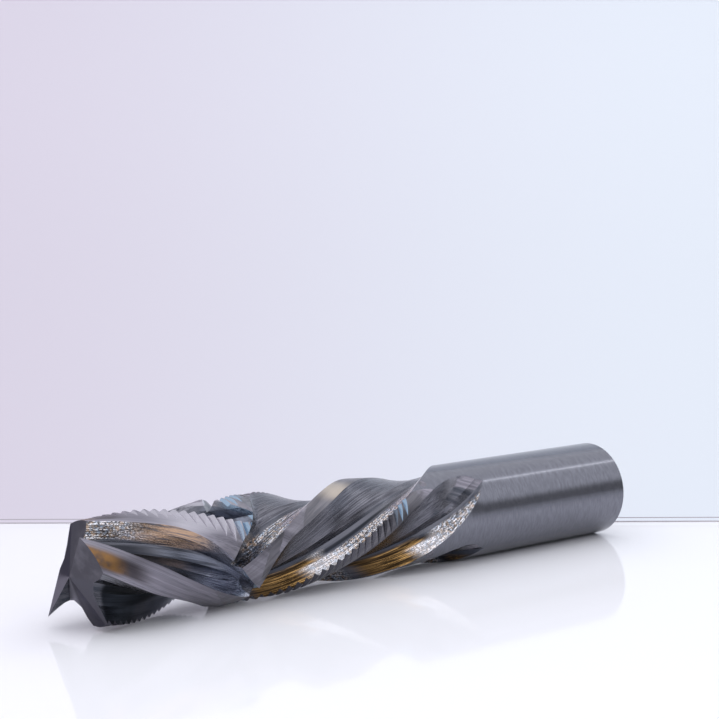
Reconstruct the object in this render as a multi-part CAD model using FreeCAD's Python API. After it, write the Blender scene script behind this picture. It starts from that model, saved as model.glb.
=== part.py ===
import FreeCAD, Part

import math
import os

# Solid carbide compression router bit, standing on its shank end.
# Millimetres.  +Z runs from the shank end to the cutting tip.  Angles are in
# degrees, counter-clockwise seen from the tip, which is the way the bit turns.

# Overall sizes
SHANK_DIAMETER = 19.05
CUTTING_DIAMETER = 18.84
OVERALL_LENGTH = 127.0
PLAIN_SHANK_LENGTH = 38.0
SHANK_CHAMFER = 0.8
BLANK_ALLOWANCE = 0.03

# Height where the slight taper from the shank to the cutting length ends
TAPER_END = 61.0

# Teeth.  Every second tooth carries chip breaker notches.
TEETH = 4
TOOTH_PITCH = 360.0 / TEETH
FIRST_UP_TOOTH_ANGLE = 52.0
FIRST_DOWN_TOOTH_ANGLE = 130.0
UP_TWIST = 3.36
DOWN_TWIST = 3.55
DOWN_TWIST_HEIGHT = 58.1

# Run-outs.  Each row: distance back from the tip, lift of the grinding wheel
# as a share of the full lift, and how far the flute has closed up (1 is open).
UP_RUN = [
    (-4.0, 0.0, 1.0),
    (22.5, 0.0, 1.0),
    (26.0, 0.03, 0.86),
    (29.5, 0.12, 0.66),
    (32.0, 0.38, 0.60),
    (34.0, 0.68, 0.58),
    (36.5, 1.05, 0.56),
]
DOWN_TIP_RUN = [
    (26.0, 1.05, 0.24),
    (28.0, 0.50, 0.33),
    (30.0, 0.16, 0.44),
    (33.0, 0.02, 0.50),
    (38.0, 0.0, 1.0),
]
DOWN_SHANK_LIFT_LENGTH = 20.0
DOWN_SHANK_MARGIN = 1.0
RELIEF_RISE = 0.10

# Flute cross sections: radius as a share of the cutting radius, and degrees
# ahead of the cutting edge.  The bed goes from the foot of the rake face,
# along the floor, to the foot of the heel wall.
UP_SECTION = {
    "bed": [(0.69, 7.0), (0.539, 21.4), (0.588, 42.8), (0.785, 50.0)],
    "heel": (0.925, 57.0),
    "lift_direction": 26.0,
    "lift": 0.52,
}
DOWN_SECTION = {
    "bed": [(0.72, 10.0), (0.622, 22.0), (0.69, 37.0)],
    "heel": (0.957, 71.0),
    "lift_direction": 28.0,
    "lift": 0.42,
}
RAKE_OVERSHOOT = 1.3
RELIEF_OVERSHOOT = 13.0
OUTSIDE_BULGE = 1.35
SECTION_SPACING = 12.0
RUN_OUT_SPACING = 4.0
LOFT_DEGREE = 2

# Chip breaker notches.  The staggered tooth has its notches half a pitch
# further back, so they fall between those of the tooth opposite.
NOTCHED_TEETH = (1, 3)
STAGGERED_TOOTH = 3
NOTCH_PITCH = 1.5
NOTCH_DEPTH = 0.72
NOTCH_HALF_ANGLE = 41.0
NOTCH_FADE = 4.0
NOTCH_AHEAD = 2.2
NOTCH_BEHIND = 4.3
NOTCH_HEIGHT = 0.85
UP_NOTCH_START = 5.2
UP_NOTCH_END = 34.5
DOWN_NOTCH_START = 30.0
DOWN_NOTCH_END = 69.5

# End of the tip: the two plain teeth reach furthest, the two notched teeth
# are set back, and the first plain tooth is ground lower toward its heel.
# Slopes are rise over run.
END_DISH = 0.115
MAIN_RELIEF_SLOPE = 0.37
SET_BACK_ANGLE = 109.0
SET_BACK_RELIEF_SLOPE = 0.215
FIRST_HEEL_DROP = 1.2
HEEL_CUT_OVERRUN = 0.3
HEEL_CUT_REACH = 6.0
HEEL_HEIGHT_PASSES = 8
END_CUT_DEPTH = 12.0
END_CUT_HEIGHT = 24.0
END_CUT_REACH = 19.0
END_CUT_CORNER_REACH = 28.0
END_CUT_BLOCK = 76.0

CUTTING_RADIUS = CUTTING_DIAMETER / 2
SHANK_RADIUS = SHANK_DIAMETER / 2
BLANK_RADIUS = CUTTING_RADIUS + BLANK_ALLOWANCE
DOWN_SHANK_LIFT_START = PLAIN_SHANK_LENGTH + DOWN_SHANK_LIFT_LENGTH
END_CENTRE = OVERALL_LENGTH - END_DISH * CUTTING_RADIUS


def polar(radius, angle, height=0.0):
    turn = math.radians(angle)
    return FreeCAD.Vector(radius * math.cos(turn), radius * math.sin(turn), height)


def arc(start, middle, end):
    return Part.Arc(start, middle, end).toShape()


def make_blank():
    """Turned blank: chamfered shank, then the slightly slimmer cutting length."""
    outline = [
        (0.0, 0.0),
        (SHANK_RADIUS - SHANK_CHAMFER, 0.0),
        (SHANK_RADIUS, SHANK_CHAMFER),
        (SHANK_RADIUS, PLAIN_SHANK_LENGTH),
        (BLANK_RADIUS, TAPER_END),
        (BLANK_RADIUS, OVERALL_LENGTH),
        (0.0, OVERALL_LENGTH),
        (0.0, 0.0),
    ]
    points = [FreeCAD.Vector(radius, 0, height) for radius, height in outline]
    face = Part.Face(Part.makePolygon(points))
    return face.revolve(FreeCAD.Vector(0, 0, 0), FreeCAD.Vector(0, 0, 1), 360)


def relief_radius(section, ahead):
    """Radius of the land behind the tooth ahead, falling from its edge to its heel."""
    heel_share, heel_ahead = section["heel"]
    fall = (1.0 - heel_share) / (TOOTH_PITCH - heel_ahead)
    share = 1.0 + fall * (ahead - TOOTH_PITCH)
    return share * CUTTING_RADIUS


def flute_section(section, edge_angle, lift, opening, height):
    """Closed outline of one flute at one height, moved outward by the lift."""
    full_lift = section["lift"] * CUTTING_RADIUS
    shift = polar(lift * full_lift, edge_angle + section["lift_direction"] * opening)
    rise = RELIEF_RISE * CUTTING_RADIUS * (1.0 - opening)

    def place(radius, ahead):
        return polar(radius, edge_angle + ahead, height) + shift

    edge = place(CUTTING_RADIUS, 0.0)
    bed = [place(share * CUTTING_RADIUS, ahead * opening) for share, ahead in section["bed"]]
    heel_ahead = section["heel"][1]
    heel = place(relief_radius(section, heel_ahead) + rise, heel_ahead * opening)
    relief_end = TOOTH_PITCH + RELIEF_OVERSHOOT
    relief_middle = (heel_ahead * opening + relief_end) / 2
    middle = place(relief_radius(section, relief_middle) + rise, relief_middle)
    outside = place(relief_radius(section, relief_end) + rise, relief_end)
    outward = edge - bed[0]
    start = edge + outward * (RAKE_OVERSHOOT / outward.Length)
    bulge = place(OUTSIDE_BULGE * CUTTING_RADIUS, TOOTH_PITCH / 2)
    corners = [start] + bed + [heel]
    edges = [Part.makeLine(near, far) for near, far in zip(corners, corners[1:])]
    edges.append(arc(heel, middle, outside))
    edges.append(arc(outside, bulge, start))
    return Part.Wire(edges)


def between(rows, distance):
    """Lift and opening at one distance back from the tip, from the run-out rows."""
    if distance <= rows[0][0]:
        return rows[0][1:]
    for near, far in zip(rows, rows[1:]):
        if distance <= far[0]:
            part = (distance - near[0]) / (far[0] - near[0])
            lift = near[1] + part * (far[1] - near[1])
            opening = near[2] + part * (far[2] - near[2])
            return lift, opening
    return rows[-1][1:]


def spread(start, end, spacing):
    """Evenly spaced heights from start up to end, without the end itself."""
    count = math.ceil((end - start) / spacing)
    return [start + (end - start) * index / count for index in range(count)]


def up_edge_angle(tooth, height):
    start = FIRST_UP_TOOTH_ANGLE + tooth * TOOTH_PITCH
    return start - UP_TWIST * (OVERALL_LENGTH - height)


def down_edge_angle(tooth, height):
    start = FIRST_DOWN_TOOTH_ANGLE + tooth * TOOTH_PITCH
    return start - DOWN_TWIST * (height - DOWN_TWIST_HEIGHT)


def up_flute(tooth):
    """Right-hand flute from the tip, running out past the middle of the cut."""
    bottom = OVERALL_LENGTH - UP_RUN[-1][0]
    open_from = OVERALL_LENGTH - UP_RUN[1][0]
    top = OVERALL_LENGTH - UP_RUN[0][0]
    heights = spread(bottom, open_from, RUN_OUT_SPACING)
    heights += spread(open_from, top, SECTION_SPACING) + [top]
    wires = []
    for height in heights:
        lift, opening = between(UP_RUN, OVERALL_LENGTH - height)
        angle = up_edge_angle(tooth, height)
        wires.append(flute_section(UP_SECTION, angle, lift, opening, height))
    return Part.makeLoft(wires, True, False, False, LOFT_DEGREE)


def down_flute(tooth):
    """Left-hand flute, running out into the shank and closing up near the tip."""
    bottom = PLAIN_SHANK_LENGTH - DOWN_SHANK_MARGIN
    closing_from = OVERALL_LENGTH - DOWN_TIP_RUN[-1][0]
    top = OVERALL_LENGTH - DOWN_TIP_RUN[0][0]
    heights = spread(bottom, DOWN_SHANK_LIFT_START, SECTION_SPACING)
    heights += spread(DOWN_SHANK_LIFT_START, closing_from, SECTION_SPACING)
    heights += spread(closing_from, top, RUN_OUT_SPACING) + [top]
    wires = []
    for height in heights:
        lift, opening = between(DOWN_TIP_RUN, OVERALL_LENGTH - height)
        travel = max(0.0, DOWN_SHANK_LIFT_START - height) / DOWN_SHANK_LIFT_LENGTH
        angle = down_edge_angle(tooth, height)
        section = flute_section(DOWN_SECTION, angle, lift + travel ** 2, opening, height)
        wires.append(section)
    return Part.makeLoft(wires, True, False, False, LOFT_DEGREE)


def notch(edge_angle, height):
    """Straight V groove across one land, deepest at the cutting edge."""
    root = CUTTING_RADIUS - NOTCH_DEPTH
    half = NOTCH_HEIGHT * math.tan(math.radians(NOTCH_HALF_ANGLE))
    profile = [
        FreeCAD.Vector(root, NOTCH_AHEAD, 0),
        FreeCAD.Vector(root + NOTCH_HEIGHT, NOTCH_AHEAD, half),
        FreeCAD.Vector(root + NOTCH_HEIGHT, NOTCH_AHEAD, -half),
        FreeCAD.Vector(root, NOTCH_AHEAD, 0),
    ]
    face = Part.Face(Part.makePolygon(profile))
    groove = face.extrude(FreeCAD.Vector(0, -NOTCH_AHEAD - NOTCH_BEHIND, 0))
    centre = FreeCAD.Vector(0, 0, 0)
    groove.rotate(centre, FreeCAD.Vector(0, 0, 1), edge_angle - NOTCH_FADE)
    groove.translate(FreeCAD.Vector(0, 0, height))
    return groove


def notches():
    """Notches of the notched teeth of each hand."""
    grooves = []
    runs = [
        (up_edge_angle, UP_NOTCH_START, UP_NOTCH_END),
        (down_edge_angle, DOWN_NOTCH_START, DOWN_NOTCH_END),
    ]
    for edge_angle, start, end in runs:
        count = int((end - start) / NOTCH_PITCH)
        for tooth in NOTCHED_TEETH:
            stagger = NOTCH_PITCH / 2 if tooth == STAGGERED_TOOTH else 0.0
            for index in range(count):
                height = OVERALL_LENGTH - start - stagger - index * NOTCH_PITCH
                grooves.append(notch(edge_angle(tooth, height), height))
    return grooves


def sector_above(from_angle, to_angle, along, along_slope, side_slope):
    """Everything above a sloping plane, inside one sector around the axis."""
    base = OVERALL_LENGTH - END_CUT_DEPTH
    corners = [
        polar(0, 0, base),
        polar(END_CUT_REACH, from_angle, base),
        polar(END_CUT_CORNER_REACH, (from_angle + to_angle) / 2, base),
        polar(END_CUT_REACH, to_angle, base),
        polar(0, 0, base),
    ]
    prism = Part.Face(Part.makePolygon(corners)).extrude(FreeCAD.Vector(0, 0, END_CUT_HEIGHT))
    slope_along = polar(1, along, along_slope)
    slope_aside = polar(1, along - 90, side_slope)
    downward = slope_along.cross(slope_aside).normalize()
    half = END_CUT_BLOCK / 2
    corner = FreeCAD.Vector(-half, -half, 0)
    block = Part.makeBox(END_CUT_BLOCK, END_CUT_BLOCK, END_CUT_BLOCK, corner)
    tilt = FreeCAD.Rotation(FreeCAD.Vector(0, 0, -1), downward)
    block.Placement = FreeCAD.Placement(FreeCAD.Vector(0, 0, END_CENTRE), tilt)
    return prism.common(block)


def end_slope(behind):
    """Slope of a main tooth's end face, this many degrees behind its edge."""
    turn = math.radians(behind)
    return END_DISH * math.cos(turn) - MAIN_RELIEF_SLOPE * math.sin(turn)


def on_first_end(share, ahead):
    """Point of the flute outline where it meets the first main tooth's end face."""
    radius = share * CUTTING_RADIUS
    height = OVERALL_LENGTH
    for _ in range(HEEL_HEIGHT_PASSES):
        angle = up_edge_angle(0, height) - TOOTH_PITCH + ahead
        height = END_CENTRE + end_slope(FIRST_UP_TOOTH_ANGLE - angle) * radius
    return polar(radius, angle, height)


def heel_cut():
    """Wedge that lowers the first main tooth from its corner toward its heel."""
    corner = on_first_end(1.0, TOOTH_PITCH)
    inner = on_first_end(*UP_SECTION["bed"][2])
    heel = on_first_end(*UP_SECTION["heel"]) - FreeCAD.Vector(0, 0, FIRST_HEEL_DROP)
    middle = (corner + inner) * 0.5
    overrun = (corner - inner) * HEEL_CUT_OVERRUN
    outside = middle + (heel - middle) * HEEL_CUT_REACH
    points = [corner + overrun, inner - overrun, outside, corner + overrun]
    face = Part.Face(Part.makePolygon(points))
    return face.extrude(FreeCAD.Vector(0, 0, END_CUT_DEPTH))


def end_cuts():
    """End faces of the teeth: the main pair, the set back pair and the first heel."""
    edge_slope = end_slope(SET_BACK_ANGLE)
    cuts = []
    for main in (FIRST_UP_TOOTH_ANGLE, FIRST_UP_TOOTH_ANGLE + 180.0):
        back = main - SET_BACK_ANGLE
        cuts.append(sector_above(back, main, main, END_DISH, -MAIN_RELIEF_SLOPE))
        cuts.append(sector_above(main - 180.0, back, back, edge_slope, -SET_BACK_RELIEF_SLOPE))
    cuts.append(heel_cut())
    return cuts


def make_bit():
    bit = make_blank()
    bit = bit.cut([up_flute(tooth) for tooth in range(TEETH)])
    bit = bit.cut([down_flute(tooth) for tooth in range(TEETH)])
    bit = bit.cut(end_cuts())
    bit = bit.cut(notches())
    return bit


os.makedirs("parts", exist_ok=True)
make_bit().exportStep("parts/router_bit.step")
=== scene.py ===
import math

import bpy
from mathutils import Euler, Matrix, Vector


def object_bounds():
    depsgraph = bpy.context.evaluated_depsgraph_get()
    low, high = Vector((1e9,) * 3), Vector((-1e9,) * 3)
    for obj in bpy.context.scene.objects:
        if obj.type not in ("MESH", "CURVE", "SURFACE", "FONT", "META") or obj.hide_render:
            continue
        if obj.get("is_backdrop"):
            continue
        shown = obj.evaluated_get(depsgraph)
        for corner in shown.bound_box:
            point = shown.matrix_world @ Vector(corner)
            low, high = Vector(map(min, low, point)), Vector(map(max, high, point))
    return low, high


# The router bit lies on a glossy white floor in front of a pale wall, seen
# from its tip.  The row frame has the bit's axis along +Z, so "up" in the
# picture is -Y.  Metres.

# Camera
CAMERA_PLACE = (-0.23631, -0.05378, 0.25630)
CAMERA_TURN = (-6.1339, 50.5717, 177.4480)
CAMERA_LENS = 81.84
CAMERA_SENSOR = 36.0

# Bit, as the CAD source has it
SHANK_RADIUS = 0.009525
CUTTING_RADIUS = 0.00942
TIP = 0.127
TOOTH_PITCH = 90.0
FIRST_UP_TOOTH_ANGLE = 52.0
FIRST_DOWN_TOOTH_ANGLE = 130.0
UP_TWIST = 3360.0
DOWN_TWIST = 3550.0
DOWN_TWIST_HEIGHT = 0.0581

# Floor sheet and the wall far behind it.  The seam is the back edge of the
# sheet; the wall is parallel to it.
FLOOR_LEVEL = SHANK_RADIUS
SEAM_START = (0.10897, 0.08331)
SEAM_DIRECTION = (-0.74006, -0.67255)
FLOOR_REACH = 0.9
STAGE_GLOSS = 0.08
EDGE_LINES = [(0.0, 0.00022), (0.00085, 0.00105)]
WALL_GAP = 0.60
WALL_SPAN = 1.6
WALL_TOP = 0.50
WALL_FOOT = -0.90
FLOOR_COLOR = (0.96, 0.96, 0.985, 1.0)
EDGE_COLOR = (0.50, 0.46, 0.50, 1.0)
# Painted light: the wall is darker on the left and brighter on the right
WALL_LEFT = (0.795, 0.735, 0.825, 1.0)
WALL_RIGHT = (0.89, 0.94, 1.0, 1.0)
WALL_LEFT_END = -0.42
WALL_RIGHT_END = 0.08

# World: brightness from level upward, as seen from the bit
WORLD_COLOR = (0.93, 0.94, 1.0, 1.0)
WORLD_LOW = 0.36
WORLD_HIGH = 1.21
WORLD_LOW_END = 0.14
WORLD_HIGH_START = 0.34

# Lamps: place, width, length, power in watts.  Each lies along the bit.
LAMPS = [
    ("lamp_strip", (-0.13, -0.42, -0.40), 0.022, 0.60, 0.13),
]

# Carbide colours; some are painted shade and painted highlights, as marked
SHANK_GREY = (0.160, 0.164, 0.192, 1.0)
SHANK_LIGHT = (0.200, 0.204, 0.236, 1.0)
UP_LAND_GREY = (0.205, 0.195, 0.228, 1.0)
UP_LAND_LIGHT = (0.300, 0.285, 0.330, 1.0)
DOWN_LAND_GREY = (0.120, 0.116, 0.130, 1.0)
DOWN_LAND_LIGHT = (0.180, 0.174, 0.192, 1.0)
# Painted highlight on the up lands
LAND_HIGHLIGHT = (0.640, 0.620, 0.680, 1.0)
# Painted highlight on the land's top
CROWN_HIGHLIGHT = (0.620, 0.540, 0.450, 1.0)
FLUTE_GREY = (0.140, 0.142, 0.165, 1.0)
FLUTE_DARK = (0.062, 0.068, 0.086, 1.0)
FLUTE_LIGHT = (0.240, 0.240, 0.270, 1.0)
HEEL_GREY = (0.070, 0.070, 0.086, 1.0)
HEEL_LIGHT = (0.185, 0.185, 0.212, 1.0)
# Painted shade for the deep flute beds near the tip, the underside and the dark line along the
# down-flute beds
BED_SHADE = (0.008, 0.010, 0.014, 1.0)
# Painted shade: near black for the flutes on the side toward the floor, near the tip
UNDERSIDE_SHADE = (0.024, 0.028, 0.036, 1.0)
BED_BLUE = (0.230, 0.250, 0.310, 1.0)
RAKE_BLUE = (0.720, 0.730, 0.810, 1.0)
POLISHED = (0.950, 0.930, 0.960, 1.0)
POLISHED_DARK = (0.070, 0.062, 0.062, 1.0)
TINT_WARM = (0.700, 0.500, 0.340, 1.0)
TINT_COLD = (0.340, 0.460, 0.620, 1.0)
BRONZE = (0.640, 0.380, 0.140, 1.0)
LAND_BRONZE = (0.310, 0.165, 0.060, 1.0)
BROWN = (0.045, 0.028, 0.014, 1.0)
BURNT = (0.045, 0.038, 0.042, 1.0)
TAN = (0.570, 0.370, 0.230, 1.0)
NOTCH_GREY = (0.110, 0.108, 0.125, 1.0)
# Painted highlights on the grooves
NOTCH_LIGHT = (0.420, 0.405, 0.450, 1.0)
NOTCH_BLUE = (0.270, 0.360, 0.460, 1.0)
# END_DARK is painted shade and END_PALE a painted highlight on the end facets
END_DARK = (0.110, 0.107, 0.125, 1.0)
END_GREY = (0.100, 0.096, 0.110, 1.0)
END_LIGHT = (0.150, 0.144, 0.164, 1.0)
END_PALE = (0.290, 0.280, 0.315, 1.0)
RIM_WHITE = (1.0, 1.0, 1.0, 1.0)
END_RIM = (0.300, 0.300, 0.340, 1.0)

# Roughness and relief
FLOOR_ROUGHNESS = 0.06
EDGE_ROUGHNESS = 0.30
WALL_ROUGHNESS = 0.5
FLUTE_ROUGHNESS = 0.24
LAND_ROUGHNESS = 0.30
RAKE_ROUGHNESS = 0.14
HEEL_ROUGHNESS = 0.15
NOTCH_ROUGHNESS = 0.16
SHANK_ROUGHNESS = 0.17
END_ROUGHNESS = 0.42
RING_RELIEF = 0.11
END_RELIEF = 0.3
BUMP_STRENGTH = 0.55
BUMP_DISTANCE = 0.00006

# Grain: noise scale, and how much it is drawn out along the height
FINE_LINES = (5200.0, 0.02)
BROAD_LINES = (900.0, 0.05)
SPECKLES = (5600.0, 0.6, 1.0)
RINGS = (620.0, 6.0)
CLOUD_SCALE = 260.0
TINT_SCALE = 1500.0

# Limits of the zones, from none to full.  Radii are shares of the cutting
# radius, facings are cosines, and sweeps are degrees ahead of a cutting edge.
HAND_CONTRAST = (-0.03, 0.03)
LAND_RADII = (0.905, 0.92)
LAND_FACING = (0.86, 0.93)
SHANK_RADII = (1.0012, 1.0025)
SHANK_HEIGHTS = (0.064, 0.061)
END_HEIGHTS = (0.1185, 0.1200)
END_FACING = (0.70, 0.78)
NOTCH_FACING = (0.60, 0.68)
NOTCH_RADII = (0.89, 0.91, 1.01, 1.02)
OUTER_RADII = (0.73, 0.79)
RAKE_SWEEP = (11.0, 8.0)
RUN_OUT_SWEEP = (20.0, 15.0)
DOWN_GLINT_SWEEP = (3.0, 6.0, 15.0, 20.0)
DOWN_BED_SWEEP = (30.0, 22.0)
DOWN_HEEL_SWEEP = (22.0, 30.0)
BROWN_SWEEP = (13.0, 20.0)
SHADOW_SWEEP = (9.0, 11.0, 13.0, 16.0)
UP_BED_SWEEP = (8.0, 14.0, 34.0, 42.0)
UP_FRONT_SWEEP = (42.0, 34.0)
UP_RAKE_SWEEP = (16.0, 8.0)
UP_HEEL_SWEEP = (43.0, 46.0, 58.0, 62.0)
BURNT_SWEEP = (60.0, 66.0, 76.0, 86.0)

# Lengths of the bit with a tint, a painted shade or a painted highlight of
# their own: start, full, fading and end, in millimetres from the shank end
BLUE_BED_STRETCH = (90.0, 94.0, 108.0, 114.0)
BLUE_RAKE_STRETCH = (92.0, 97.0, 106.0, 110.0)
DEEP_SHADE_STRETCH = (108.0, 117.0, 122.0, 123.0)
UNDERSIDE_SHADE_STRETCH = (106.0, 111.0, 122.0, 123.2)
TAN_STRETCH = (101.0, 106.0, 113.0, 118.0)
UP_GLINT_STRETCH = (110.0, 119.0, 128.0, 129.0)
FADING_STRETCH = (32.0, 36.0, 45.0, 52.0)
RUN_OUT_STRETCH = (30.0, 36.0, 50.0, 54.0)
DOWN_GLINT_STRETCH = (77.0, 81.0, 94.0, 97.0)
LAND_HIGHLIGHT_STRETCH = (92.0, 98.0, 106.0, 114.0)
CROWN_HIGHLIGHT_STRETCH = (66.0, 71.5, 73.0, 79.0)
BURNT_STRETCH = (114.5, 119.0, 130.0, 131.0)
HEATED_STRETCH = (119.3, 123.2, 130.0, 131.0)
NOTCH_LIGHT_STRETCH = (93.0, 98.0, 112.0, 118.0)
NOTCH_BLUE_STRETCHES = [(90.0, 92.0, 96.0, 98.0), (54.0, 56.0, 61.0, 63.0)]

# Sides of the bit with a tint, a painted shade or a painted highlight of their
# own: degrees from the top, then the cosines at which it starts and is full
LOWER_SIDE = (130.0, 0.72, 0.88)
UP_GLINT_SIDE = (15.0, 0.55, 0.75)
GOLD_SIDE = (140.0, 0.86, 0.95)
BROWN_SIDE = (168.0, 0.90, 0.99)
UNLIT_RAKE_SIDE = (152.0, 0.88, 0.96)
SPARKLE_SIDE = (118.0, 0.94, 1.0)
LAND_HIGHLIGHT_SIDE = (30.0, 0.84, 0.97)
CROWN_HIGHLIGHT_SIDE = (20.0, 0.93, 0.995)
END_DARK_SIDE = (128.0, 0.70, 0.90)
END_PALE_ANGLE = -134.0
END_PALE_FACING = (0.70, 0.92)


def add_node(tree, kind, **settings):
    node = tree.nodes.new(kind)
    for name, value in settings.items():
        setattr(node, name, value)
    return node


def new_material(name):
    material = bpy.data.materials.new(name)
    material.use_nodes = True
    material.node_tree.nodes.clear()
    return material


class Graph:
    """A material's nodes, with short ways to add the ones used here."""

    def __init__(self, tree):
        self.tree = tree

    def node(self, kind, **settings):
        return add_node(self.tree, kind, **settings)

    def feed(self, socket, value):
        if isinstance(value, bpy.types.NodeSocket):
            self.tree.links.new(value, socket)
        else:
            socket.default_value = value

    def math(self, operation, *values):
        node = self.node("ShaderNodeMath", operation=operation)
        for socket, value in zip(node.inputs, values):
            self.feed(socket, value)
        return node.outputs["Value"]

    def vector_math(self, operation, output, *values):
        node = self.node("ShaderNodeVectorMath", operation=operation)
        for socket, value in zip(node.inputs, values):
            self.feed(socket, value)
        return node.outputs[output]

    def ramp(self, value, low, high):
        """Smooth step from 0 at low to 1 at high; low may be above high."""
        node = self.node("ShaderNodeMapRange", interpolation_type="SMOOTHSTEP")
        self.feed(node.inputs["Value"], value)
        self.feed(node.inputs["From Min"], low)
        self.feed(node.inputs["From Max"], high)
        return node.outputs["Result"]

    def band(self, value, start, full, fading, end):
        """1 between full and fading, 0 before start and after end."""
        return self.math("MULTIPLY", self.ramp(value, start, full), self.ramp(value, end, fading))

    def both(self, first, second):
        return self.math("MULTIPLY", first, second)

    def opposite(self, share):
        return self.math("SUBTRACT", 1.0, share)

    def combine(self, x, y, z):
        node = self.node("ShaderNodeCombineXYZ")
        self.feed(node.inputs["X"], x)
        self.feed(node.inputs["Y"], y)
        self.feed(node.inputs["Z"], z)
        return node.outputs["Vector"]

    def noise(self, vector, scale, detail=3.0, roughness=0.6):
        node = self.node("ShaderNodeTexNoise")
        self.feed(node.inputs["Vector"], vector)
        self.feed(node.inputs["Scale"], scale)
        self.feed(node.inputs["Detail"], detail)
        self.feed(node.inputs["Roughness"], roughness)
        return node.outputs["Fac"]

    def mix(self, share, base, top):
        node = self.node("ShaderNodeMix", data_type="RGBA")
        self.feed(node.inputs[0], share)
        self.feed(node.inputs[6], base)
        self.feed(node.inputs[7], top)
        return node.outputs[2]

    def mix_value(self, share, base, top):
        node = self.node("ShaderNodeMix", data_type="FLOAT")
        self.feed(node.inputs[0], share)
        self.feed(node.inputs[2], base)
        self.feed(node.inputs[3], top)
        return node.outputs[0]


def add_camera():
    data = bpy.data.cameras.new("camera")
    data.lens = CAMERA_LENS
    data.sensor_width = CAMERA_SENSOR
    data.clip_start = 0.01
    data.clip_end = 20.0
    camera = bpy.data.objects.new("camera", data)
    camera.location = CAMERA_PLACE
    camera.rotation_euler = Euler([math.radians(angle) for angle in CAMERA_TURN], "XYZ")
    bpy.context.scene.collection.objects.link(camera)
    bpy.context.scene.camera = camera


def add_lamp(name, place, width, length, power):
    data = bpy.data.lights.new(name, "AREA")
    data.shape = "RECTANGLE"
    data.size = width
    data.size_y = length
    data.energy = power
    lamp = bpy.data.objects.new(name, data)
    lamp.location = place
    aim = Vector((0.0, 0.0, TIP / 2)) - lamp.location
    back = -aim.normalized()
    side = Vector((0.0, 0.0, 1.0)).cross(back).normalized()
    rise = back.cross(side)
    lamp.rotation_euler = Matrix((side, rise, back)).transposed().to_euler()
    bpy.context.scene.collection.objects.link(lamp)


def stage_material(name, color, roughness):
    """Glossy pale board that a camera behind it looks straight through."""
    material = new_material(name)
    tree = material.node_tree
    board = add_node(tree, "ShaderNodeBsdfPrincipled")
    board.inputs["Base Color"].default_value = color
    board.inputs["Roughness"].default_value = roughness
    board.inputs["Specular IOR Level"].default_value = STAGE_GLOSS
    clear = add_node(tree, "ShaderNodeBsdfTransparent")
    side = add_node(tree, "ShaderNodeNewGeometry")
    mix = add_node(tree, "ShaderNodeMixShader")
    output = add_node(tree, "ShaderNodeOutputMaterial")
    tree.links.new(side.outputs["Backfacing"], mix.inputs["Fac"])
    tree.links.new(board.outputs["BSDF"], mix.inputs[1])
    tree.links.new(clear.outputs["BSDF"], mix.inputs[2])
    tree.links.new(mix.outputs["Shader"], output.inputs["Surface"])
    return material


def shade_wall(material):
    """The wall turns from a darker, warm white on the left to a brighter, cool one on the right:
    painted light falling unevenly.
    """
    graph = Graph(material.node_tree)
    place = graph.node("ShaderNodeTexCoord").outputs["Object"]
    run_x, run_z = SEAM_DIRECTION
    along = graph.vector_math("DOT_PRODUCT", "Value", place, (run_x, 0.0, run_z))
    share = graph.ramp(along, WALL_LEFT_END, WALL_RIGHT_END)
    board = next(node for node in graph.tree.nodes if node.type == "BSDF_PRINCIPLED")
    graph.feed(board.inputs["Base Color"], graph.mix(share, WALL_LEFT, WALL_RIGHT))
    return material


def add_board(name, corners, material):
    mesh = bpy.data.meshes.new(name)
    mesh.from_pydata(corners, [], [tuple(range(len(corners)))])
    mesh.materials.append(material)
    board = bpy.data.objects.new(name, mesh)
    bpy.context.scene.collection.objects.link(board)
    board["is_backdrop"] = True


def seam_point(along, forward, height):
    """Point on the stage: along the seam, in front of it, above the floor."""
    start_x, start_z = SEAM_START
    run_x, run_z = SEAM_DIRECTION
    x = start_x + run_x * along + run_z * forward
    z = start_z + run_z * along - run_x * forward
    return (x, FLOOR_LEVEL - height, z)


def add_stage():
    near, far = -FLOOR_REACH, FLOOR_REACH
    floor = [
        seam_point(near, 0.0, 0.0),
        seam_point(near, FLOOR_REACH, 0.0),
        seam_point(far, FLOOR_REACH, 0.0),
        seam_point(far, 0.0, 0.0),
    ]
    add_board("floor", floor, stage_material("floor_board", FLOOR_COLOR, FLOOR_ROUGHNESS))
    edge_material = stage_material("edge_board", EDGE_COLOR, EDGE_ROUGHNESS)
    for low, high in EDGE_LINES:
        edge = [
            seam_point(near, 0.0, high),
            seam_point(near, 0.0, low),
            seam_point(far, 0.0, low),
            seam_point(far, 0.0, high),
        ]
        add_board("floor_edge", edge, edge_material)
    near, far = -WALL_SPAN, WALL_SPAN
    wall = [
        seam_point(near, -WALL_GAP, WALL_FOOT),
        seam_point(far, -WALL_GAP, WALL_FOOT),
        seam_point(far, -WALL_GAP, WALL_TOP),
        seam_point(near, -WALL_GAP, WALL_TOP),
    ]
    wall_material = shade_wall(stage_material("wall_board", WALL_LEFT, WALL_ROUGHNESS))
    add_board("wall", wall, wall_material)


def add_world():
    """Even white surroundings that are darker near the level."""
    world = bpy.data.worlds.new("world")
    world.use_nodes = True
    graph = Graph(world.node_tree)
    background = world.node_tree.nodes["Background"]
    background.inputs["Color"].default_value = WORLD_COLOR
    direction = graph.node("ShaderNodeTexCoord").outputs["Generated"]
    parts = graph.node("ShaderNodeSeparateXYZ")
    graph.feed(parts.inputs["Vector"], direction)
    off_level = graph.math("ABSOLUTE", parts.outputs["Y"])
    share = graph.ramp(off_level, WORLD_LOW_END, WORLD_HIGH_START)
    strength = graph.mix_value(share, WORLD_LOW, WORLD_HIGH)
    graph.feed(background.inputs["Strength"], strength)
    bpy.context.scene.world = world


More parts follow.
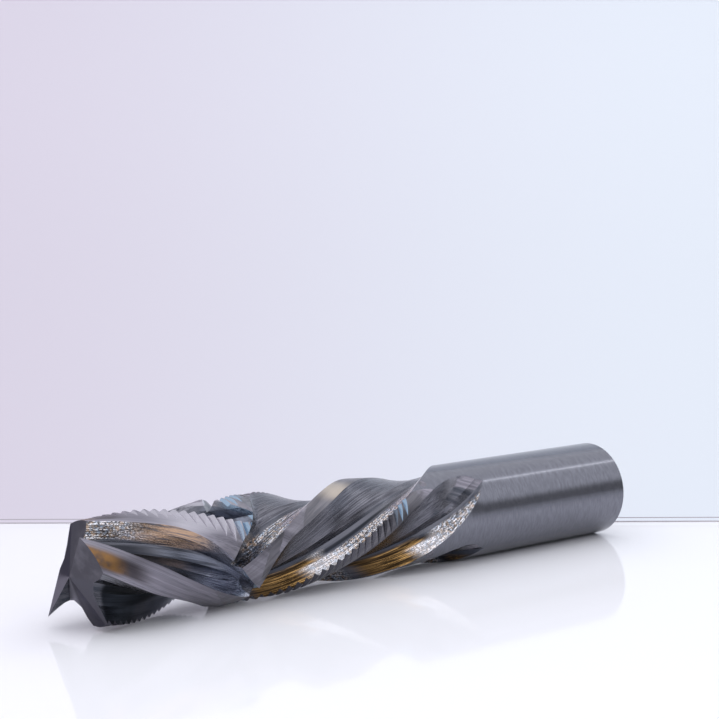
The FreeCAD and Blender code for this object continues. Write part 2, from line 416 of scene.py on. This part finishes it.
class Bit:
    """Where a point is on the bit: radius, height, and its place in each flute."""

    def __init__(self, graph):
        self.graph = graph
        self.place = graph.node("ShaderNodeTexCoord").outputs["Object"]
        parts = graph.node("ShaderNodeSeparateXYZ")
        graph.feed(parts.inputs["Vector"], self.place)
        self.height = parts.outputs["Z"]
        flat = graph.combine(parts.outputs["X"], parts.outputs["Y"], 0.0)
        self.radius = graph.vector_math("LENGTH", "Value", flat)
        self.share = graph.math("DIVIDE", self.radius, CUTTING_RADIUS)
        self.normal = graph.node("ShaderNodeNewGeometry").outputs["Normal"]
        self.outward = graph.vector_math("NORMALIZE", "Vector", flat)
        self.facing_out = graph.vector_math("DOT_PRODUCT", "Value", self.normal, self.outward)
        upright = (0.0, 0.0, 1.0)
        self.facing_up = graph.vector_math("DOT_PRODUCT", "Value", self.normal, upright)
        self.up_edge = self.edge_angle(FIRST_UP_TOOTH_ANGLE, UP_TWIST, TIP)
        self.down_edge = self.edge_angle(FIRST_DOWN_TOOTH_ANGLE, -DOWN_TWIST, DOWN_TWIST_HEIGHT)
        self.up_place = self.untwisted(self.up_edge)
        self.down_place = self.untwisted(self.down_edge)
        self.up_ahead = self.ahead(self.up_place)
        self.down_ahead = self.ahead(self.down_place)
        self.up_across = self.across(parts, UP_TWIST)
        self.down_across = self.across(parts, -DOWN_TWIST)

    def edge_angle(self, first, twist, level):
        """Angle of the first cutting edge at this height, in degrees."""
        rise = self.graph.math("SUBTRACT", self.height, level)
        return self.graph.math("MULTIPLY_ADD", rise, twist, first)

    def untwisted(self, edge):
        """The point turned back so that the flutes run straight up."""
        turn = self.graph.math("MULTIPLY", edge, -math.pi / 180)
        node = self.graph.node("ShaderNodeVectorRotate", rotation_type="Z_AXIS")
        self.graph.feed(node.inputs["Vector"], self.place)
        self.graph.feed(node.inputs["Angle"], turn)
        return node.outputs["Vector"]

    def ahead(self, place):
        """Degrees ahead of the nearest cutting edge behind, from 0 to the pitch."""
        parts = self.graph.node("ShaderNodeSeparateXYZ")
        self.graph.feed(parts.inputs["Vector"], place)
        turn = self.graph.math("ARCTAN2", parts.outputs["Y"], parts.outputs["X"])
        degrees = self.graph.math("MULTIPLY_ADD", turn, 180 / math.pi, 720.0)
        return self.graph.math("MODULO", degrees, TOOTH_PITCH)

    def across(self, parts, twist):
        """How far the surface turns away from the run of this hand's flutes."""
        turn = math.radians(twist)
        x = self.graph.math("MULTIPLY", parts.outputs["Y"], -turn)
        y = self.graph.math("MULTIPLY", parts.outputs["X"], turn)
        run = self.graph.combine(x, y, 1.0)
        run = self.graph.vector_math("NORMALIZE", "Vector", run)
        dot = self.graph.vector_math("DOT_PRODUCT", "Value", self.normal, run)
        return self.graph.math("ABSOLUTE", dot)


def streaks(graph, place, fineness, stretch, detail=3.0):
    """Grinding lines: noise drawn out along the height, or squeezed above 1."""
    squeeze = graph.vector_math("MULTIPLY", "Vector", place, (1.0, 1.0, stretch))
    return graph.noise(squeeze, fineness, detail)


class Zones:
    """Which part of the ground surface a point is on, each as a share of 1."""

    def __init__(self, graph, bit):
        self.graph = graph
        self.bit = bit
        both, ramp, band = graph.both, graph.ramp, graph.band
        self.up = ramp(graph.math("SUBTRACT", bit.down_across, bit.up_across), *HAND_CONTRAST)
        self.down = graph.opposite(self.up)
        self.land = both(ramp(bit.share, *LAND_RADII), ramp(bit.facing_out, *LAND_FACING))
        self.shank = both(ramp(bit.share, *SHANK_RADII), ramp(bit.height, *SHANK_HEIGHTS))
        self.end = both(ramp(bit.height, *END_HEIGHTS), ramp(bit.facing_up, *END_FACING))
        steep = ramp(graph.math("ABSOLUTE", bit.facing_up), *NOTCH_FACING)
        self.notch = both(steep, band(bit.share, *NOTCH_RADII))
        hollow = graph.opposite(self.land)
        self.up_flute = both(self.up, hollow)
        self.down_flute = both(self.down, hollow)
        outer = ramp(bit.share, *OUTER_RADII)
        narrow = both(ramp(bit.down_ahead, *RAKE_SWEEP), outer)
        run_out = both(ramp(bit.down_ahead, *RUN_OUT_SWEEP), self.stretch(*RUN_OUT_STRETCH))
        self.rake = both(self.down_flute, graph.math("MAXIMUM", narrow, run_out))
        glint = both(band(bit.down_ahead, *DOWN_GLINT_SWEEP), self.stretch(*DOWN_GLINT_STRETCH))
        self.down_glint = both(self.down_flute, glint)
        self.down_bed = both(self.down_flute, ramp(bit.down_ahead, *DOWN_BED_SWEEP))
        self.down_heel = both(self.down_flute, ramp(bit.down_ahead, *DOWN_HEEL_SWEEP))
        self.down_brown = ramp(bit.down_ahead, *BROWN_SWEEP)
        self.down_shadow = both(self.down_flute, band(bit.down_ahead, *SHADOW_SWEEP))
        self.up_bed = both(self.up_flute, band(bit.up_ahead, *UP_BED_SWEEP))
        self.up_front = both(self.up_flute, ramp(bit.up_ahead, *UP_FRONT_SWEEP))
        self.up_rake = both(self.up_flute, ramp(bit.up_ahead, *UP_RAKE_SWEEP))
        self.up_heel = both(self.up_flute, band(bit.up_ahead, *UP_HEEL_SWEEP))

    def toward(self, angle):
        """Cosine of the turn from this side, given in degrees from the top."""
        turn = math.radians(angle)
        direction = (-math.sin(turn), -math.cos(turn), 0.0)
        return self.graph.vector_math("DOT_PRODUCT", "Value", self.bit.outward, direction)

    def side(self, angle, low, high):
        """This side of the bit and the one opposite."""
        return self.graph.ramp(self.graph.math("ABSOLUTE", self.toward(angle)), low, high)

    def stretch(self, start, full, fading, end):
        """A length of the bit, in millimetres from the shank end."""
        heights = [height / 1000 for height in (start, full, fading, end)]
        return self.graph.band(self.bit.height, *heights)


class Grain:
    """Fine patterns of the ground surface, each a noise value about 0.5."""

    def __init__(self, graph, bit, zones):
        mix = graph.mix_value
        up_lines = streaks(graph, bit.up_place, *FINE_LINES)
        down_lines = streaks(graph, bit.down_place, *FINE_LINES)
        self.lines = mix(zones.up, down_lines, up_lines)
        up_broad = streaks(graph, bit.up_place, *BROAD_LINES)
        down_broad = streaks(graph, bit.down_place, *BROAD_LINES)
        self.broad = mix(zones.up, down_broad, up_broad)
        self.rings = streaks(graph, bit.place, *RINGS)
        self.cloud = graph.noise(bit.place, CLOUD_SCALE)
        up_speckle = streaks(graph, bit.up_place, *SPECKLES)
        down_speckle = streaks(graph, bit.down_place, *SPECKLES)
        self.speckle = mix(zones.up, down_speckle, up_speckle)
        self.tint = graph.noise(bit.place, TINT_SCALE, 2.0)


def polished_color(graph, grain):
    """Bright specks with a slight rainbow of warm and cold flecks."""
    dots = graph.both(graph.ramp(grain.speckle, 0.44, 0.58), graph.ramp(grain.lines, 0.40, 0.58))
    color = graph.mix(dots, POLISHED_DARK, POLISHED)
    warm = graph.both(graph.ramp(grain.tint, 0.52, 0.66), 0.40)
    cold = graph.both(graph.ramp(grain.tint, 0.48, 0.34), 0.40)
    color = graph.mix(warm, color, TINT_WARM)
    return graph.mix(cold, color, TINT_COLD)


def up_flute_color(graph, zones, grain):
    both, ramp = graph.both, graph.ramp
    color = graph.mix(ramp(grain.broad, 0.36, 0.60), FLUTE_DARK, FLUTE_GREY)
    color = graph.mix(both(ramp(grain.lines, 0.54, 0.70), 0.6), color, FLUTE_LIGHT)
    lower = zones.side(*LOWER_SIDE)
    blue = both(zones.up_front, zones.stretch(*BLUE_BED_STRETCH))
    blue = both(blue, ramp(grain.broad, 0.34, 0.56))
    color = graph.mix(both(blue, 0.8), color, BED_BLUE)
    pale = both(both(lower, zones.up_rake), zones.stretch(*BLUE_RAKE_STRETCH))
    pale = both(pale, ramp(grain.lines, 0.36, 0.60))
    color = graph.mix(pale, color, RAKE_BLUE)
    # Painted shade: the deep up-flute beds near the tip are darkened
    deep_shade = both(zones.up_bed, zones.stretch(*DEEP_SHADE_STRETCH))
    color = graph.mix(both(deep_shade, 0.8), color, BED_SHADE)
    # Painted shade: the up flutes on the side toward the floor are painted near black near the
    # tip
    underside_shade = graph.mix(ramp(grain.broad, 0.40, 0.66), BED_SHADE, UNDERSIDE_SHADE)
    shaded_underside = both(lower, zones.stretch(*UNDERSIDE_SHADE_STRETCH))
    color = graph.mix(shaded_underside, color, underside_shade)
    heel = graph.mix(ramp(grain.lines, 0.34, 0.56), HEEL_GREY, FLUTE_LIGHT)
    color = graph.mix(zones.up_heel, color, heel)
    tan = both(zones.up_heel, zones.stretch(*TAN_STRETCH))
    tan = both(tan, graph.opposite(lower))
    tan_grain = graph.mix(ramp(grain.lines, 0.34, 0.56), FLUTE_GREY, TAN)
    color = graph.mix(both(tan, 0.85), color, tan_grain)
    # Painted highlight: bright polished specks on the up heels near the tip, on the side toward
    # the top
    glint = both(zones.up_heel, zones.stretch(*UP_GLINT_STRETCH))
    glint = both(glint, zones.side(*UP_GLINT_SIDE))
    return graph.mix(glint, color, polished_color(graph, grain))


def down_flute_color(graph, zones, grain):
    both, ramp = graph.both, graph.ramp
    color = graph.mix(ramp(grain.broad, 0.36, 0.60), FLUTE_DARK, FLUTE_GREY)
    heel = graph.mix(ramp(grain.lines, 0.36, 0.64), HEEL_GREY, HEEL_LIGHT)
    color = graph.mix(zones.down_heel, color, heel)
    fading = both(zones.down_heel, zones.stretch(*FADING_STRETCH))
    color = graph.mix(both(fading, 0.7), color, FLUTE_LIGHT)
    color = graph.mix(both(zones.down_shadow, 0.8), color, BED_SHADE)
    gold_side = zones.side(*GOLD_SIDE)
    gold = graph.mix(ramp(grain.lines, 0.42, 0.64), BROWN, BRONZE)
    gold = graph.mix(ramp(grain.broad, 0.52, 0.38), gold, BROWN)
    gold = graph.mix(both(zones.side(*BROWN_SIDE), 0.6), gold, BROWN)
    gold = graph.mix(zones.down_brown, gold, FLUTE_DARK)
    color = graph.mix(both(zones.down_bed, gold_side), color, gold)
    # The rake's polished colour is partly real polish and partly a painted highlight: it is left
    # off the side toward 152 degrees as painted shade, the down glint adds painted highlight, and
    # the side toward 118 degrees is painted brighter still
    bright = both(zones.rake, graph.opposite(zones.side(*UNLIT_RAKE_SIDE)))
    tip_glint = both(zones.down_glint, graph.opposite(gold_side))
    bright = graph.math("MAXIMUM", bright, tip_glint)
    polished = polished_color(graph, grain)
    polished = graph.mix(both(zones.side(*SPARKLE_SIDE), 0.3), polished, POLISHED)
    return graph.mix(bright, color, polished)


def land_color(graph, bit, zones, grain):
    both, ramp, band = graph.both, graph.ramp, graph.band
    light = ramp(grain.broad, 0.40, 0.62)
    up_land = graph.mix(light, UP_LAND_GREY, UP_LAND_LIGHT)
    down_land = graph.mix(light, DOWN_LAND_GREY, DOWN_LAND_LIGHT)
    color = graph.mix(zones.up, down_land, up_land)
    color = graph.mix(both(ramp(grain.lines, 0.50, 0.36), 0.4), color, FLUTE_DARK)
    # Painted highlight: the up lands on the side toward 30 degrees are painted pale between 92
    # and 114 mm
    bright = both(zones.side(*LAND_HIGHLIGHT_SIDE), zones.stretch(*LAND_HIGHLIGHT_STRETCH))
    color = graph.mix(both(bright, 0.46), color, LAND_HIGHLIGHT)
    # Painted highlight: a warm pale patch on the land's top near 72 mm, on the side toward the
    # top
    crown_highlight = both(zones.side(*CROWN_HIGHLIGHT_SIDE), zones.stretch(*CROWN_HIGHLIGHT_STRETCH))
    color = graph.mix(both(crown_highlight, 0.7), color, CROWN_HIGHLIGHT)
    across = band(bit.up_ahead, *BURNT_SWEEP)
    burnt = both(both(zones.up, across), zones.stretch(*BURNT_STRETCH))
    color = graph.mix(both(burnt, 0.85), color, BURNT)
    heated = both(both(zones.up, across), zones.stretch(*HEATED_STRETCH))
    heated = both(heated, ramp(grain.cloud, 0.24, 0.50))
    return graph.mix(both(heated, 0.9), color, LAND_BRONZE)


def carbide_color(graph, bit, zones, grain):
    down = down_flute_color(graph, zones, grain)
    color = graph.mix(zones.up, down, up_flute_color(graph, zones, grain))
    color = graph.mix(zones.land, color, land_color(graph, bit, zones, grain))
    # Painted highlights: the grooves are painted pale between 93 and 118 mm and blue-white in two
    # bands, where they catch the light
    groove = graph.mix(zones.stretch(*NOTCH_LIGHT_STRETCH), NOTCH_GREY, NOTCH_LIGHT)
    for stretch in NOTCH_BLUE_STRETCHES:
        groove = graph.mix(zones.stretch(*stretch), groove, NOTCH_BLUE)
    color = graph.mix(zones.notch, color, groove)
    shank = graph.mix(graph.ramp(grain.rings, 0.35, 0.65), SHANK_GREY, SHANK_LIGHT)
    color = graph.mix(zones.shank, color, shank)
    end = graph.mix(graph.ramp(grain.cloud, 0.35, 0.65), END_GREY, END_LIGHT)
    # Painted light: end facets toward -134 degrees are painted pale, those toward 128 degrees and
    # the opposite side a flat darker grey
    pale = graph.ramp(zones.toward(END_PALE_ANGLE), *END_PALE_FACING)
    end = graph.mix(pale, end, END_PALE)
    end = graph.mix(zones.side(*END_DARK_SIDE), end, END_DARK)
    return graph.mix(zones.end, color, end)


def carbide_roughness(graph, zones):
    value = graph.mix_value(zones.land, FLUTE_ROUGHNESS, LAND_ROUGHNESS)
    value = graph.mix_value(zones.rake, value, RAKE_ROUGHNESS)
    value = graph.mix_value(zones.up_heel, value, HEEL_ROUGHNESS)
    value = graph.mix_value(zones.notch, value, NOTCH_ROUGHNESS)
    value = graph.mix_value(zones.shank, value, SHANK_ROUGHNESS)
    return graph.mix_value(zones.end, value, END_ROUGHNESS)


def carbide_relief(graph, zones, grain):
    """Height of the fine grinding marks, for the bump."""
    shiny = graph.math("MAXIMUM", zones.rake, zones.up_heel)
    height = graph.mix_value(shiny, grain.lines, grain.speckle)
    height = graph.mix_value(zones.shank, height, graph.both(grain.rings, RING_RELIEF))
    height = graph.mix_value(zones.end, height, graph.both(grain.speckle, END_RELIEF))
    bump = graph.node("ShaderNodeBump")
    bump.inputs["Strength"].default_value = BUMP_STRENGTH
    bump.inputs["Distance"].default_value = BUMP_DISTANCE
    graph.feed(bump.inputs["Height"], height)
    return bump.outputs["Normal"]


def carbide_material():
    material = new_material("ground_carbide")
    graph = Graph(material.node_tree)
    bit = Bit(graph)
    zones = Zones(graph, bit)
    grain = Grain(graph, bit, zones)
    metal = graph.node("ShaderNodeBsdfPrincipled")
    metal.inputs["Metallic"].default_value = 1.0
    graph.feed(metal.inputs["Base Color"], carbide_color(graph, bit, zones, grain))
    graph.feed(metal.inputs["Roughness"], carbide_roughness(graph, zones))
    graph.feed(metal.inputs["Specular Tint"], graph.mix(zones.end, RIM_WHITE, END_RIM))
    graph.feed(metal.inputs["Normal"], carbide_relief(graph, zones, grain))
    output = graph.node("ShaderNodeOutputMaterial")
    graph.feed(output.inputs["Surface"], metal.outputs["BSDF"])
    return material


def dress_bit(bit):
    material = carbide_material()
    for slot in bit.material_slots:
        slot.material = material


def corners(box):
    return [list(corner) for corner in box]


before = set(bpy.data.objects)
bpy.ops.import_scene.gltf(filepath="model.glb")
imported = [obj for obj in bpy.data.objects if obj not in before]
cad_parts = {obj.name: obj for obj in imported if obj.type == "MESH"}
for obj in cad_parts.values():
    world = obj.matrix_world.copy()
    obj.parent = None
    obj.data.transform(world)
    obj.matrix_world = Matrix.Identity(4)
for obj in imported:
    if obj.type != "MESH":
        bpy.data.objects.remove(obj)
cad_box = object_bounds()
bpy.context.scene.view_settings.view_transform = "Standard"
add_camera()
add_stage()
add_world()
for lamp in LAMPS:
    add_lamp(*lamp)
dress_bit(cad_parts["router_bit"])
{"cad": corners(cad_box), "visual": corners(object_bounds())}
